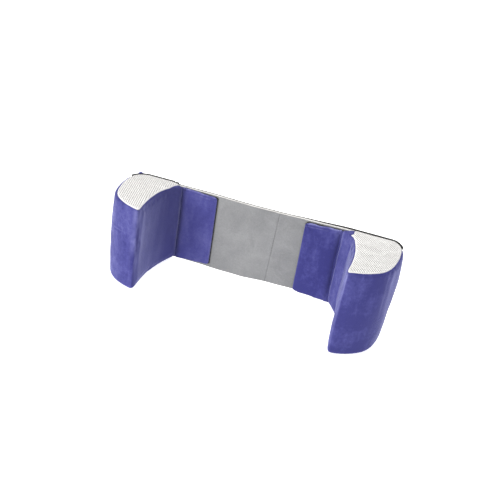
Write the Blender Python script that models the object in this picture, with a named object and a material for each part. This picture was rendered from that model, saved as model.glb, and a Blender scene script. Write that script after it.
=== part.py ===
"""Lateral support cushion for a wheelchair back: a flat loop-cloth band that lies against the
backrest, and two foam bolsters that stand out of it on either side of the trunk.

Metres, with the tables in millimetres. +X runs along the band, to the right for someone who faces
the trunk side. +Y points to the backrest, so the bolsters point to -Y. +Z is up, and the bolsters
stand on Z = 0. "Out" is measured from a flap's seam away from the trunk, "forward" from the flaps'
front face towards -Y.
"""

import bmesh
import bpy
import numpy as np

MM = 0.001
GAP = 0.3 * MM

BOLSTER_BACK = 6.7 * MM
FLAP_FRONT_Y = 65.6 * MM

# The two sides: where the flap's seam lies, where the tip of the end sheet lies from there, how
# far the bolster came out of the pattern's size and how its nose moved, how far its outer wall is
# drawn in towards the foot, and where the flap's edges, the closure and the hook lie.
SIDES = (
    {
        "name": "left",
        "outward": -1,
        "seam_x": -155.8 * MM,
        "height": 160.0 * MM,
        "tip": (8.2 * MM, 13.0 * MM),
        "scale": (0.96, 0.969),
        "nose": (-1.1 * MM, 1.1 * MM),
        "foot_draw": 1.6 * MM,
        "flap_low": 6.0 * MM,
        "flap_high": 153.2 * MM,
        "closure_start": 18.0 * MM,
        "hook_past_end": 2.6 * MM,
        "hook_past_top": 0.7 * MM,
    },
    {
        "name": "right",
        "outward": 1,
        "seam_x": 141.2 * MM,
        "height": 161.0 * MM,
        "tip": (14.2 * MM, 11.0 * MM),
        "scale": (1.056, 1.077),
        "nose": (-0.7 * MM, 1.1 * MM),
        "foot_draw": 3.9 * MM,
        "flap_low": 3.6 * MM,
        "flap_high": 153.2 * MM,
        "closure_start": 42.0 * MM,
        "hook_past_end": 0.2 * MM,
        "hook_past_top": 1.7 * MM,
    },
)
NOSE_FORWARD = (55.0 * MM, 45.0 * MM)
NOSE_OUT = (24.0 * MM, 50.0 * MM)
OUTER_WALL = 88.0 * MM

# Seam of a bolster's top in plan, from the tip of its end sheet along the inner side to the nose,
# down the outer side and round to the back. Fullness is how far the wall stands past the seam.
PLAN = (
    # out, forward, fullness
    (7.0, 13.0, 0.4),
    (13.0, 30.0, 0.6),
    (17.8, 52.0, 0.7),
    (20.2, 74.0, 0.7),
    (20.8, 98.0, 0.6),
    (19.8, 115.0, 0.5),
    (22.0, 122.0, 0.5),
    (29.0, 122.0, 0.7),
    (45.0, 116.5, 1.0),
    (60.0, 108.5, 1.0),
    (73.0, 97.0, 1.0),
    (82.0, 80.5, 1.0),
    (87.0, 60.0, 1.0),
    (89.5, 38.0, 1.0),
    (89.2, 18.0, 0.8),
    (87.0, 2.5, 0.0),
    (82.0, -8.0, 0.0),
    (74.0, -15.5, 0.0),
    (62.0, -20.5, 0.0),
    (38.0, -21.0, 0.0),
    (18.0, -21.0, 0.0),
)
PLAN_STEPS = 2
NECK_FRONT = 0.8 * MM

# Distances of the wall's loops from the foot, and again from the top.
WALL_LEVELS = (0.0, 0.9, 2.8, 6.0, 18.0, 42.0)
SHOULDER_HEIGHT = 6.0 * MM
SHOULDER_OUT = 2.4 * MM
SWELL = 2.6 * MM
SWELL_REACH = 60.0 * MM
FOOT_INSET = 2.6 * MM

# How the top falls towards the thin inner edge and the back, and the foot rises to meet the flap.
SEAM_DROP = 6.8 * MM
SEAM_DROP_REACH = 24.0 * MM
BACK_DROP = 2.4 * MM
BACK_DROP_REACH = 40.0 * MM
TOP_DOME = 2.0 * MM
CAP_RINGS = (0.92, 0.72, 0.42)

SHEET_THICKNESS = 1.9 * MM
SHEET_INSET = 1.6 * MM
SHEET_CLIP = 1.4 * MM
SHEET_ROOM = 0.5 * MM
RIM_DROP = 0.4 * MM

CLOSURE_HEIGHT = 4.1 * MM
CLOSURE_THICKNESS = 2.0 * MM
SLIDER_SIZE = (8.0 * MM, 3.4 * MM, 5.2 * MM)
SLIDER_BEVEL = 1.2 * MM

FLAP_WIDTH = 66.5 * MM
FLAP_THICKNESS = 5.0 * MM
FLAP_EDGE = 2.6 * MM
FLAP_TAPER = 3.8 * MM
FLAP_CORNER = 6.0 * MM
FLAP_ROWS = 9
FLAP_STOPS = (0.0, 0.05, 0.14, 0.30, 0.50, 0.70)
HOOK_THICKNESS = 1.4 * MM
HOOK_START = 4.0 * MM

BAND_FRONT_Y = FLAP_FRONT_Y + FLAP_THICKNESS + HOOK_THICKNESS + 2 * GAP
BAND_LEFT_X = -247.1 * MM
BAND_RIGHT_X = 229.9 * MM
BAND_CORNER = 6.0 * MM
SLEEVE_WIDTH = 27.0 * MM
FACE_THICKNESS = 1.6 * MM
CORE_THICKNESS = 5.2 * MM
BACKING_THICKNESS = 1.6 * MM
CORNER_STEPS = 4

# The band's long edges, which are a little wavy and rise to the right.
BAND_EDGES = (
    # x, bottom z, top z
    (-260.0, 4.6, 150.6),
    (-150.0, 4.2, 150.6),
    (-90.0, 3.2, 150.8),
    (-24.0, 2.8, 149.4),
    (22.0, 6.0, 149.8),
    (66.0, 8.0, 151.6),
    (150.0, 7.6, 153.4),
    (260.0, 7.2, 153.4),
)

FINISHES = {
    # base colour, roughness
    "velour": ((0.080, 0.072, 0.36, 1.0), 0.85),
    "spacer_mesh": ((0.82, 0.80, 0.77, 1.0), 0.80),
    "loop_cloth": ((0.33, 0.34, 0.35, 1.0), 0.92),
    "pale_foam": ((0.74, 0.72, 0.68, 1.0), 0.85),
    "dark_cloth": ((0.07, 0.07, 0.068, 1.0), 0.90),
    "hook_sheet": ((0.022, 0.022, 0.024, 1.0), 0.75),
    "closure_tape": ((0.055, 0.055, 0.055, 1.0), 0.70),
    "slider_plastic": ((0.045, 0.045, 0.047, 1.0), 0.45),
}


def clear_scene():
    for item in list(bpy.data.objects):
        bpy.data.objects.remove(item)


def finish(name):
    made = bpy.data.materials.get(name)
    if made is None:
        colour, roughness = FINISHES[name]
        made = bpy.data.materials.new(name)
        made.use_nodes = True
        shader = made.node_tree.nodes["Principled BSDF"]
        shader.inputs["Base Color"].default_value = colour
        shader.inputs["Roughness"].default_value = roughness
        shader.inputs["Metallic"].default_value = 0.0
    return made


def place(name, shape, finish_name, smooth_angle=40.0):
    """Makes a named object of a bmesh, with its faces out and its finish."""
    bmesh.ops.recalc_face_normals(shape, faces=shape.faces)
    mesh = bpy.data.meshes.new(name)
    shape.to_mesh(mesh)
    shape.free()
    mesh.shade_smooth()
    mesh.set_sharp_from_angle(angle=np.radians(smooth_angle))
    mesh.materials.append(finish(finish_name))
    item = bpy.data.objects.new(name, mesh)
    bpy.context.scene.collection.objects.link(item)


def ease(value):
    """0 below 0, 1 above 1, with a soft start and end between."""
    value = np.clip(value, 0.0, 1.0)
    return value * value * (3.0 - 2.0 * value)


def smooth_curve(rows, steps):
    """Catmull-Rom curve through the rows of an open line."""
    padded = np.concatenate([rows[:1], rows, rows[-1:]])
    curve = []
    for before, start, end, after in zip(padded, padded[1:], padded[2:], padded[3:]):
        for step in range(steps):
            t = step / steps
            curve.append(0.5 * (
                2 * start + (end - before) * t
                + (2 * before - 5 * start + 4 * end - after) * t**2
                + (3 * start - before - 3 * end + after) * t**3
            ))
    curve.append(rows[-1])
    return np.array(curve)


def bolster_plan(side):
    """Top seam of a bolster as (out, forward), and how full the wall is at each point."""
    rows = np.array(PLAN)
    rows[:, :2] *= MM
    in_nose = ease((rows[:, 1] - NOSE_FORWARD[0]) / NOSE_FORWARD[1])
    in_nose *= 1.0 - ease((rows[:, 0] - NOSE_OUT[0]) / NOSE_OUT[1])
    moved = rows[:, :2] + in_nose[:, None] * side["nose"]
    rows[:, :2] = side["tip"] + moved * side["scale"]
    neck_front = (GAP, NECK_FRONT, 0.0)
    neck_back = (GAP, -BOLSTER_BACK, 0.0)
    curve = smooth_curve(np.vstack([neck_front, rows, neck_back]), PLAN_STEPS)
    plan = curve[:, :2]
    plan[:, 1] = np.maximum(plan[:, 1], -BOLSTER_BACK)
    return plan, np.clip(curve[:, 2], 0.0, 1.0)


def foot_plan(side, plan):
    """The top's plan with its outer side drawn in, as it is at the foot."""
    drawn = plan.copy()
    drawn[:, 0] -= side["foot_draw"] * ease(plan[:, 0] / OUTER_WALL)
    return drawn


def outward_normals(plan):
    along = np.roll(plan, -1, axis=0) - np.roll(plan, 1, axis=0)
    normals = np.stack([-along[:, 1], along[:, 0]], axis=1)
    return normals / np.linalg.norm(normals, axis=1)[:, None]


def to_world(side, plan, z):
    x = side["seam_x"] + side["outward"] * plan[:, 0]
    y = FLAP_FRONT_Y - plan[:, 1]
    return np.stack([x, y, np.broadcast_to(z, x.shape)], axis=1)


def foot_z(plan):
    return SEAM_DROP * (1.0 - ease(plan[:, 0] / SEAM_DROP_REACH))


def top_z(side, plan):
    at_seam = SEAM_DROP * (1.0 - ease(plan[:, 0] / SEAM_DROP_REACH))
    at_back = BACK_DROP * (1.0 - ease((plan[:, 1] + BOLSTER_BACK) / BACK_DROP_REACH))
    return side["height"] - np.maximum(at_seam, at_back)


def wall_offset(distance, fullness, start):
    """How far the wall stands past its seam, at a distance from the foot's or the top's edge."""
    past = np.clip(1.0 - distance / SHOULDER_HEIGHT, 0.0, 1.0)
    rounding = np.sqrt(1.0 - past**2)
    swell = SWELL * np.sin(np.clip(distance / SWELL_REACH, 0.0, 1.0) * np.pi / 2)
    return start + (SHOULDER_OUT * fullness - start) * rounding + swell * fullness


def add_loop(shape, points):
    return [shape.verts.new(point) for point in points]


def bridge(shape, lower, upper):
    """Quads between two closed loops with as many points."""
    for i in range(len(lower)):
        j = (i + 1) % len(lower)
        shape.faces.new((lower[i], lower[j], upper[j], upper[i]))


def cap(shape, side, plan, edge, height, dome):
    """Closes an edge with rings that shrink to the middle, raised there by the dome."""
    middle = plan.mean(axis=0)
    for ring in CAP_RINGS:
        inner = middle + (plan - middle) * ring
        loop = add_loop(shape, to_world(side, inner, height(inner) + dome * (1.0 - ring**2)))
        bridge(shape, edge, loop)
        edge = loop
    centre = middle[None, :]
    hub = shape.verts.new(to_world(side, centre, height(centre) + dome)[0])
    for i in range(len(edge)):
        shape.faces.new((edge[i], edge[(i + 1) % len(edge)], hub))


def sheet_plan(side, room=0.0):
    """Outline of the end sheet and any room round it; the neck beside the seam stays bare."""
    plan, _ = bolster_plan(side)
    inset = plan - outward_normals(plan) * (SHEET_INSET - room)
    end = side["tip"][0] - room
    inset[inset[:, 0] < end - SHEET_CLIP, 1] += SHEET_CLIP
    inset[:, 0] = np.maximum(inset[:, 0], end)
    return inset


def bolster(side):
    """Filled column with swollen walls, a flat foot and a recess for its end sheet."""
    plan, fullness = bolster_plan(side)
    normals = outward_normals(plan)
    below = foot_plan(side, plan)
    shape = bmesh.new()
    levels = np.array(WALL_LEVELS) * MM
    loops = []
    for distance in levels:
        wall = below + normals * wall_offset(distance, fullness, -FOOT_INSET)[:, None]
        loops.append(add_loop(shape, to_world(side, wall, foot_z(below) + distance)))
    for distance in levels[::-1]:
        wall = plan + normals * wall_offset(distance, fullness, 0.0)[:, None]
        high = top_z(side, plan) - RIM_DROP - distance
        loops.append(add_loop(shape, to_world(side, wall, high)))
    recess = sheet_plan(side, SHEET_ROOM)
    floor_drop = SHEET_THICKNESS + SHEET_ROOM
    loops.append(add_loop(shape, to_world(side, recess, top_z(side, recess) - floor_drop)))
    for lower, upper in zip(loops, loops[1:]):
        bridge(shape, lower, upper)
    foot = below - normals * FOOT_INSET
    cap(shape, side, foot, loops[0], foot_z, 0.0)
    cap(shape, side, recess, loops[-1], lambda inner: top_z(side, inner) - floor_drop, TOP_DOME)
    place(f"bolster_{side['name']}", shape, "velour")


def top_mesh(side):
    """Spacer-mesh sheet in the recess of a bolster's top."""
    plan = sheet_plan(side)
    recess = sheet_plan(side, SHEET_ROOM)
    shape = bmesh.new()
    drops = (SHEET_THICKNESS, 0.0)
    edges = [add_loop(shape, to_world(side, plan, top_z(side, plan) - drop)) for drop in drops]
    bridge(shape, edges[0], edges[1])
    for edge, drop in zip(edges, drops):
        cap(shape, side, recess, edge, lambda inner, drop=drop: top_z(side, inner) - drop, TOP_DOME)
    place(f"top_mesh_{side['name']}", shape, "spacer_mesh")


def closure_path(side):
    """Plan of the closure strip's inner face, from round the outer corner to its inner end."""
    plan, fullness = bolster_plan(side)
    normals = outward_normals(plan)
    kept = (fullness == 0.0) & (plan[:, 0] > side["closure_start"] + SLIDER_SIZE[0])
    path, facing = plan[kept], normals[kept]
    end = np.array([[side["closure_start"], -BOLSTER_BACK]])
    return np.vstack([path, end]), np.vstack([facing, (0.0, -1.0)])


def closure(side):
    """Closure strip along the top back edge of a bolster."""
    path, facing = closure_path(side)
    inner = path + facing * GAP
    outer = path + facing * (GAP + CLOSURE_THICKNESS)
    ring = np.vstack([inner, outer[::-1]])
    seam = np.vstack([path, path[::-1]])
    high = top_z(side, seam) - RIM_DROP
    shape = bmesh.new()
    lower = add_loop(shape, to_world(side, ring, high - CLOSURE_HEIGHT))
    upper = add_loop(shape, to_world(side, ring, high))
    bridge(shape, lower, upper)
    last = len(ring) - 1
    for loop in (lower, upper):
        for i in range(len(path) - 1):
            shape.faces.new((loop[i], loop[i + 1], loop[last - i - 1], loop[last - i]))
    place(f"zip_{side['name']}", shape, "closure_tape")


def slider(side):
    """Slider at the inner end of a closure strip."""
    middle_out = side["closure_start"] - GAP - SLIDER_SIZE[0] / 2
    plan = np.array([[middle_out, -BOLSTER_BACK - GAP - SLIDER_SIZE[1] / 2]])
    seam = np.array([[middle_out, -BOLSTER_BACK]])
    centre = to_world(side, plan, top_z(side, seam) - SLIDER_SIZE[2] / 2 + GAP)[0]
    shape = bmesh.new()
    bmesh.ops.create_cube(shape, size=1.0)
    bmesh.ops.scale(shape, vec=SLIDER_SIZE, verts=shape.verts)
    bmesh.ops.translate(shape, vec=centre, verts=shape.verts)
    bmesh.ops.bevel(shape, geom=shape.edges[:], offset=SLIDER_BEVEL, segments=2, profile=0.5,
                    affect="EDGES")
    place(f"zip_slider_{side['name']}", shape, "slider_plastic")


def corner_stops(end, inward, radius):
    """x of the columns that round a panel's corners, from its end inwards."""
    turns = np.linspace(0.0, np.pi / 2, CORNER_STEPS + 1)
    return end + inward * radius * (1.0 - np.cos(turns))


def corner_pull(x, end, inward, radius):
    """How far a rounded corner takes a long edge in at each x."""
    past = np.clip(1.0 - inward * (x - end) / radius, 0.0, 1.0)
    return radius * (1.0 - np.sqrt(1.0 - past**2))


def panel(name, finish_name, x, low, high, front, back, rows):
    """Closed panel of columns at x between two long edges; front and back take (across, up)."""
    up = np.linspace(0.0, 1.0, rows)[:, None]
    z = low + (high - low) * up
    x = np.broadcast_to(x, z.shape)
    shape = bmesh.new()
    faces = []
    for y in (front, back):
        y = np.broadcast_to(y, z.shape)
        points = np.stack([x, y, z], axis=2)
        faces.append([add_loop(shape, row) for row in points])
    columns = z.shape[1]
    for face in faces:
        for r in range(rows - 1):
            for c in range(columns - 1):
                shape.faces.new((face[r][c], face[r][c + 1], face[r + 1][c + 1], face[r + 1][c]))
    rims = []
    for face in faces:
        right = [row[-1] for row in face[1:-1]]
        left = [row[0] for row in face[1:-1]]
        rims.append(face[0] + right + face[-1][::-1] + left[::-1])
    bridge(shape, rims[0], rims[1])
    place(name, shape, finish_name)


def flap_columns(side, width, grow):
    """Distances from the seam of a flap's columns, with its lower and upper edges there."""
    across = np.concatenate([
        np.array(FLAP_STOPS) * width,
        corner_stops(width, -1, FLAP_CORNER)[::-1],
    ])
    taper = FLAP_TAPER * across / FLAP_WIDTH
    pull = corner_pull(across, width, -1, FLAP_CORNER)
    low = side["flap_low"] + taper + pull
    high = side["flap_high"] - taper - pull + grow * across / width
    return across, low, high


def flap(side):
    """Padded velour flap, full in the middle and thin along its edges."""
    across, low, high = flap_columns(side, FLAP_WIDTH, 0.0)
    up = np.linspace(-1.0, 1.0, FLAP_ROWS)[:, None]
    out = 2.0 * across / FLAP_WIDTH - 1.0
    fullness = (1.0 - np.abs(up) ** 5) * (1.0 - np.abs(out) ** 7)
    front = FLAP_FRONT_Y + (FLAP_THICKNESS - FLAP_EDGE) * (1.0 - fullness)
    x = side["seam_x"] - side["outward"] * (across + GAP)
    panel(f"flap_{side['name']}", "velour", x, low, high, front, FLAP_FRONT_Y + FLAP_THICKNESS,
          FLAP_ROWS)


def flap_hook(side):
    """Hook sheet on a flap's back, cut past the flap where it shows."""
    width = FLAP_WIDTH + side["hook_past_end"]
    across, low, high = flap_columns(side, width, side["hook_past_top"])
    front = FLAP_FRONT_Y + FLAP_THICKNESS + GAP
    kept = np.maximum(across, HOOK_START + across * (1.0 - HOOK_START / width))
    x = side["seam_x"] - side["outward"] * kept
    panel(f"flap_hook_{side['name']}", "hook_sheet", x, low, high, front,
          front + HOOK_THICKNESS, 2)


def band_columns(left, right, round_left, round_right):
    """Columns of a length of the band, with its lower and upper edges there."""
    table = np.array(BAND_EDGES) * MM
    between = table[:, 0]
    stops = [[left, right], between[(between > left + BAND_CORNER) & (between < right - BAND_CORNER)]]
    if round_left:
        stops.append(corner_stops(left, 1, BAND_CORNER))
    if round_right:
        stops.append(corner_stops(right, -1, BAND_CORNER))
    x = np.unique(np.concatenate(stops))
    low = np.interp(x, table[:, 0], table[:, 1])
    high = np.interp(x, table[:, 0], table[:, 2])
    pull = np.zeros(len(x))
    if round_left:
        pull += corner_pull(x, left, 1, BAND_CORNER)
    if round_right:
        pull += corner_pull(x, right, -1, BAND_CORNER)
    return x, low + pull, high - pull


def band():
    """Loop cloth, foam and backing in one length, with a velour sleeve over the left end."""
    sleeve_end = BAND_LEFT_X + SLEEVE_WIDTH
    length = band_columns(sleeve_end + GAP, BAND_RIGHT_X, False, True)
    y = BAND_FRONT_Y
    layers = (
        ("band_face", "loop_cloth", FACE_THICKNESS),
        ("band_core", "pale_foam", CORE_THICKNESS),
        ("band_back", "dark_cloth", BACKING_THICKNESS),
    )
    for name, finish_name, thickness in layers:
        panel(name, finish_name, *length, y, y + thickness, 2)
        y += thickness + GAP
    back_y = y - GAP
    sleeve = band_columns(BAND_LEFT_X, sleeve_end, True, False)
    panel("band_end_left", "velour", *sleeve, BAND_FRONT_Y, back_y, 2)


def main():
    clear_scene()
    band()
    for side in SIDES:
        bolster(side)
        top_mesh(side)
        closure(side)
        flap(side)
        flap_hook(side)
    slider(SIDES[0])


main()
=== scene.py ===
# Looks of a wheelchair lateral support cushion: velour bolsters with mesh tops on a loop-cloth band.
# Metres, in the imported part's own frame: +X along the band, +Y towards the backrest, +Z up.
import math

import bmesh
import bpy
import numpy as np
from mathutils import Matrix, Vector
from mathutils.bvhtree import BVHTree


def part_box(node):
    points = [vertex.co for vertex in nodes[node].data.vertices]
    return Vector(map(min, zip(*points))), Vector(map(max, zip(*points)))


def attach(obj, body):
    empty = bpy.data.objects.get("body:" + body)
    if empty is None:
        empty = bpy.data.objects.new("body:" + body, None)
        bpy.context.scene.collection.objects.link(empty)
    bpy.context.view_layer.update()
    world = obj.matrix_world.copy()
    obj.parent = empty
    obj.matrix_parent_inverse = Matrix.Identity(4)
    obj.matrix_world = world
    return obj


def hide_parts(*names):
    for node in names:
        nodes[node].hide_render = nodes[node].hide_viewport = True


mm = 0.001
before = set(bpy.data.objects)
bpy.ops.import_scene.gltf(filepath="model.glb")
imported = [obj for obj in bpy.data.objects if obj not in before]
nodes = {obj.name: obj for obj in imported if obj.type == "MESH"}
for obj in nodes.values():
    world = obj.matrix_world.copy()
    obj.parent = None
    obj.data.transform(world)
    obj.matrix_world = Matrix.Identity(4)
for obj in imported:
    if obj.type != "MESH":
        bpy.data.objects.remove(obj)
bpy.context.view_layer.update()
outward = {"left": -1.0, "right": 1.0}
print("frame loaded:", len(nodes), "nodes")


# Camera, light and floor

photoView = {
    "place": (0.26595, -1.2033, 0.80085),
    "turn": 12.462,  # degrees, to the left of +Y
    "down": 29.466,  # degrees below the horizon
    "roll": 9.634,
    "lens": 59.267,
    "sensor": 36.0,  # mm, as the lens
}
lamps = {
    # name: place, size, watts, colour
    "keyLight": ((-1.25, -1.4, 1.05), 1.2, 23.0, (1.0, 0.985, 0.965)),
    "fillLight": ((1.5, -0.9, 1.0), 1.6, 2.0, (0.95, 0.97, 1.0)),
    "topLight": ((0.1, 0.25, 1.7), 1.5, 19.0, (1.0, 1.0, 1.0)),
}
skyLevel = 0.42
floorLook = {"size": 14.0, "colour": (0.9, 0.9, 0.9, 1.0), "glow": 0.85}


def placed(name, data):
    item = bpy.data.objects.new(name, data)
    bpy.context.scene.collection.objects.link(item)
    return item


def makeCamera():
    view = photoView
    data = bpy.data.cameras.new("photoCamera")
    data.lens = view["lens"]
    data.sensor_width = view["sensor"]
    camera = placed("photoCamera", data)
    turn = Matrix.Rotation(math.radians(view["turn"]), 4, "Z")
    tilt = Matrix.Rotation(math.radians(90.0 - view["down"]), 4, "X")
    roll = Matrix.Rotation(math.radians(view["roll"]), 4, "Z")
    camera.matrix_world = Matrix.Translation(view["place"]) @ turn @ tilt @ roll
    bpy.context.scene.camera = camera


def makeLights():
    # every lamp looks at the middle of the part
    target = Vector((0.0, 0.0, 80 * mm))
    for name, (place, size, watts, colour) in lamps.items():
        data = bpy.data.lights.new(name, "AREA")
        data.shape = "DISK"
        data.size = size
        data.energy = watts
        data.color = colour
        lamp = placed(name, data)
        lamp.location = place
        lamp.rotation_euler = (target - Vector(place)).to_track_quat("-Z", "Y").to_euler()
    world = bpy.data.worlds.new("studioSky")
    world.use_nodes = True
    sky = world.node_tree.nodes["Background"]
    sky.inputs["Color"].default_value = (1.0, 1.0, 1.0, 1.0)
    sky.inputs["Strength"].default_value = skyLevel
    bpy.context.scene.world = world
    bpy.context.scene.view_settings.view_transform = "Standard"


# Shader maths: a wire is a node's output, and sums on wires add Math nodes

class Wire:
    def __init__(self, look, socket):
        self.look = look
        self.socket = socket

    def math(self, operation, *values):
        numbered = dict(enumerate(values))
        return self.look.add("ShaderNodeMath", {"operation": operation}, numbered)[0]

    def __add__(self, other):
        return self.math("ADD", self, other)

    def __radd__(self, other):
        return self.math("ADD", other, self)

    def __sub__(self, other):
        return self.math("SUBTRACT", self, other)

    def __rsub__(self, other):
        return self.math("SUBTRACT", other, self)

    def __mul__(self, other):
        return self.math("MULTIPLY", self, other)

    def cosine(self):
        return self.math("COSINE", self)

    def between(self, low, high):
        # 0 at low, 1 at high, soft at both ends
        settings = {"interpolation_type": "SMOOTHSTEP"}
        values = {"Value": self, "From Min": low, "From Max": high}
        return self.look.add("ShaderNodeMapRange", settings, values)[0]


class Look:
    def __init__(self, name, roughness, sheen=0.0, sheenTint=(1.0, 1.0, 1.0), sheenRough=0.5,
                 specular=0.3):
        self.material = bpy.data.materials.new(name)
        self.material.use_nodes = True
        self.tree = self.material.node_tree
        self.shader = self.tree.nodes["Principled BSDF"]
        self.shader.inputs["Roughness"].default_value = roughness
        self.shader.inputs["Sheen Weight"].default_value = sheen
        self.shader.inputs["Sheen Tint"].default_value = (*sheenTint, 1.0)
        self.shader.inputs["Sheen Roughness"].default_value = sheenRough
        self.shader.inputs["Specular IOR Level"].default_value = specular

    def add(self, kind, settings=None, values=None):
        node = self.tree.nodes.new(kind)
        for name, value in (settings or {}).items():
            if name == "stops":
                self.fillRamp(node.color_ramp, value)
            else:
                setattr(node, name, value)
        for name, value in (values or {}).items():
            if isinstance(value, Wire):
                self.tree.links.new(value.socket, node.inputs[name])
            else:
                node.inputs[name].default_value = value
        return [Wire(self, socket) for socket in node.outputs if socket.enabled]

    def fillRamp(self, ramp, stops):
        while len(ramp.elements) < len(stops):
            ramp.elements.new(1.0)
        for element, (place, colour) in zip(ramp.elements, stops):
            element.position = place
            element.color = (*colour, 1.0)

    def place(self):
        # the part's own coordinates, because every piece's origin is the part's
        node = self.tree.nodes.new("ShaderNodeTexCoord")
        return Wire(self, node.outputs["Object"])

    def stretched(self, place, scale):
        settings = {"vector_type": "POINT"}
        return self.add("ShaderNodeMapping", settings, {"Vector": place, "Scale": scale})[0]

    def noise(self, place, scale, detail=3.0, rough=0.55, distortion=0.0):
        values = {"Vector": place, "Scale": scale, "Detail": detail, "Roughness": rough,
                  "Distortion": distortion}
        return self.add("ShaderNodeTexNoise", {"noise_dimensions": "3D"}, values)[0]

    def apart(self, place):
        return self.add("ShaderNodeSeparateXYZ", None, {"Vector": place})

    def brushed(self, name):
        # a number that the mesh carries at each point
        return self.add("ShaderNodeAttribute", {"attribute_name": name})[2]

    def ramp(self, factor, stops):
        return self.add("ShaderNodeValToRGB", {"stops": stops}, {"Fac": factor})[0]

    def blend(self, factor, first, second):
        settings = {"data_type": "RGBA", "blend_type": "MIX"}
        values = {0: factor}
        # a Mix node's colours are its sockets 6 and 7
        for socket, colour in ((6, first), (7, second)):
            values[socket] = colour if isinstance(colour, Wire) else (*colour, 1.0)
        return self.add("ShaderNodeMix", settings, values)[0]

    def feed(self, socketName, wire):
        self.tree.links.new(wire.socket, self.shader.inputs[socketName])

    def bump(self, height, distance, strength=1.0):
        values = {"Height": height, "Distance": distance, "Strength": strength}
        self.feed("Normal", self.add("ShaderNodeBump", None, values)[0])


# Finishes: a pattern's scale is in repeats a metre

velourLook = {
    "deep": (0.050, 0.050, 0.215),
    "middle": (0.079, 0.079, 0.285),
    "stroked": (0.137, 0.139, 0.385),
    # colour of the painted shade
    "shade_tone": (0.048, 0.049, 0.148),
    # pale of velour thinned by use, together with painted sheen
    "worn": (0.285, 0.290, 0.570),
    "fibre": (0.018, 0.018, 0.085),
    "sheenTint": (0.66, 0.68, 1.0),
    "patch": 17.0,
    "streak": (38.0, 38.0, 11.0),
    "grain": 153.0,
    "pile": 1500.0,
    "mix": {"patch": 0.48, "streak": 0.30, "grain": 0.22},
    "levels": (0.41, 0.50, 0.61),  # of the nap, for deep, middle and stroked
}


def velour():
    # the mesh says where velour is calm, where light and shade are painted on, where use and painted sheen
    # pale it
    look = velourLook
    made = Look("velour", 0.88, sheen=0.5, sheenTint=look["sheenTint"], sheenRough=0.36, specular=0.1)
    place = made.place()
    patch = made.noise(place, look["patch"], detail=4.0, rough=0.62, distortion=0.4)
    streak = made.noise(made.stretched(place, look["streak"]), 1.0, rough=0.6, distortion=0.7)
    grain = made.noise(place, look["grain"], rough=0.7)
    pile = made.noise(place, look["pile"], detail=2.0, rough=0.6)
    nap = patch * look["mix"]["patch"] + streak * look["mix"]["streak"] + grain * look["mix"]["grain"]
    # the velour's random level, raised or lowered by light and shade painted on the mesh
    brushed = (nap - 0.5) * (1.0 - made.brushed("calm")) + 0.5 + made.brushed("nap")
    cloth = made.ramp(brushed, tuple(zip(look["levels"], (look["deep"], look["middle"], look["stroked"]))))
    # painted shade, where the mesh's numbers ask for it
    dulled = made.blend(made.brushed("dulled") * (0.55 + patch * 0.7), cloth, look["shade_tone"])
    # painted sheen, with some paling from use, where the mesh's numbers ask for it
    worn = made.blend(made.brushed("worn") * streak.between(0.30, 0.66), dulled, look["worn"])
    made.feed("Base Color", made.blend(pile.between(0.35, 0.65) * 0.22, worn, look["fibre"]))
    made.feed("Roughness", 0.80 + nap * 0.16)
    made.bump(pile * 0.5 + grain * 0.5, 0.5 * mm, 0.6)
    return made.material


# holes of the spacer mesh lie where two wave fronts meet, in its shape and in its colour alike
spacerLook = {
    "white": (0.87, 0.86, 0.84),
    "grubby": (0.77, 0.755, 0.74),
    "shade": (0.07, 0.068, 0.066),
    # distance between rows, degrees of their normal from +X, weight
    "left": ((3.52 * mm, 10.0, 1.0), (3.6 * mm, 100.0, 0.3)),
    "right": ((3.73 * mm, 38.0, 1.0), (3.57 * mm, -56.0, 0.8)),
    "open": (0.0, 1.25),  # sum of the two waves at a hole's rim and in its middle
    "depth": 0.8 * mm,
    "clouds": 42.0,
    "yarn": 1900.0,
}


def holeFronts(side):
    fronts = []
    for period, degrees, weight in spacerLook[side]:
        wave, turn = 2.0 * math.pi / period, math.radians(degrees)
        fronts.append((wave * math.cos(turn), wave * math.sin(turn), weight))
    return fronts


def spacerMesh(side):
    made = Look(f"spacerMesh_{side}", 0.78, sheen=0.1, specular=0.2)
    place = made.place()
    x, y, _ = made.apart(place)
    waves = [(x * across + y * along).cosine() * weight for across, along, weight in holeFronts(side)]
    hole = (waves[0] + waves[1]).between(*spacerLook["open"])
    worn = made.noise(place, spacerLook["clouds"], rough=0.6)
    yarn = made.noise(place, spacerLook["yarn"], detail=2.0, rough=0.6)
    cloth = made.ramp(worn, ((0.3, spacerLook["grubby"]), (0.62, spacerLook["white"])))
    shaded = hole * made.brushed("open") * (0.62 + worn * 0.4)
    made.feed("Base Color", made.blend(shaded, cloth, spacerLook["shade"]))
    made.bump(yarn - hole * 0.8, 0.35 * mm, 0.5)
    return made.material


loopLook = {
    "low": (0.222, 0.225, 0.230),
    "mid": (0.262, 0.265, 0.269),
    "high": (0.304, 0.306, 0.309),
    "fuzz": (0.165, 0.168, 0.174),
    "sewn": (0.085, 0.086, 0.090),
    "clouds": 30.0,
    "tufts": 330.0,
    "fibres": 1700.0,
    "shade_rightwards": 0.9,  # towards the right, a metre
}


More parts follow.
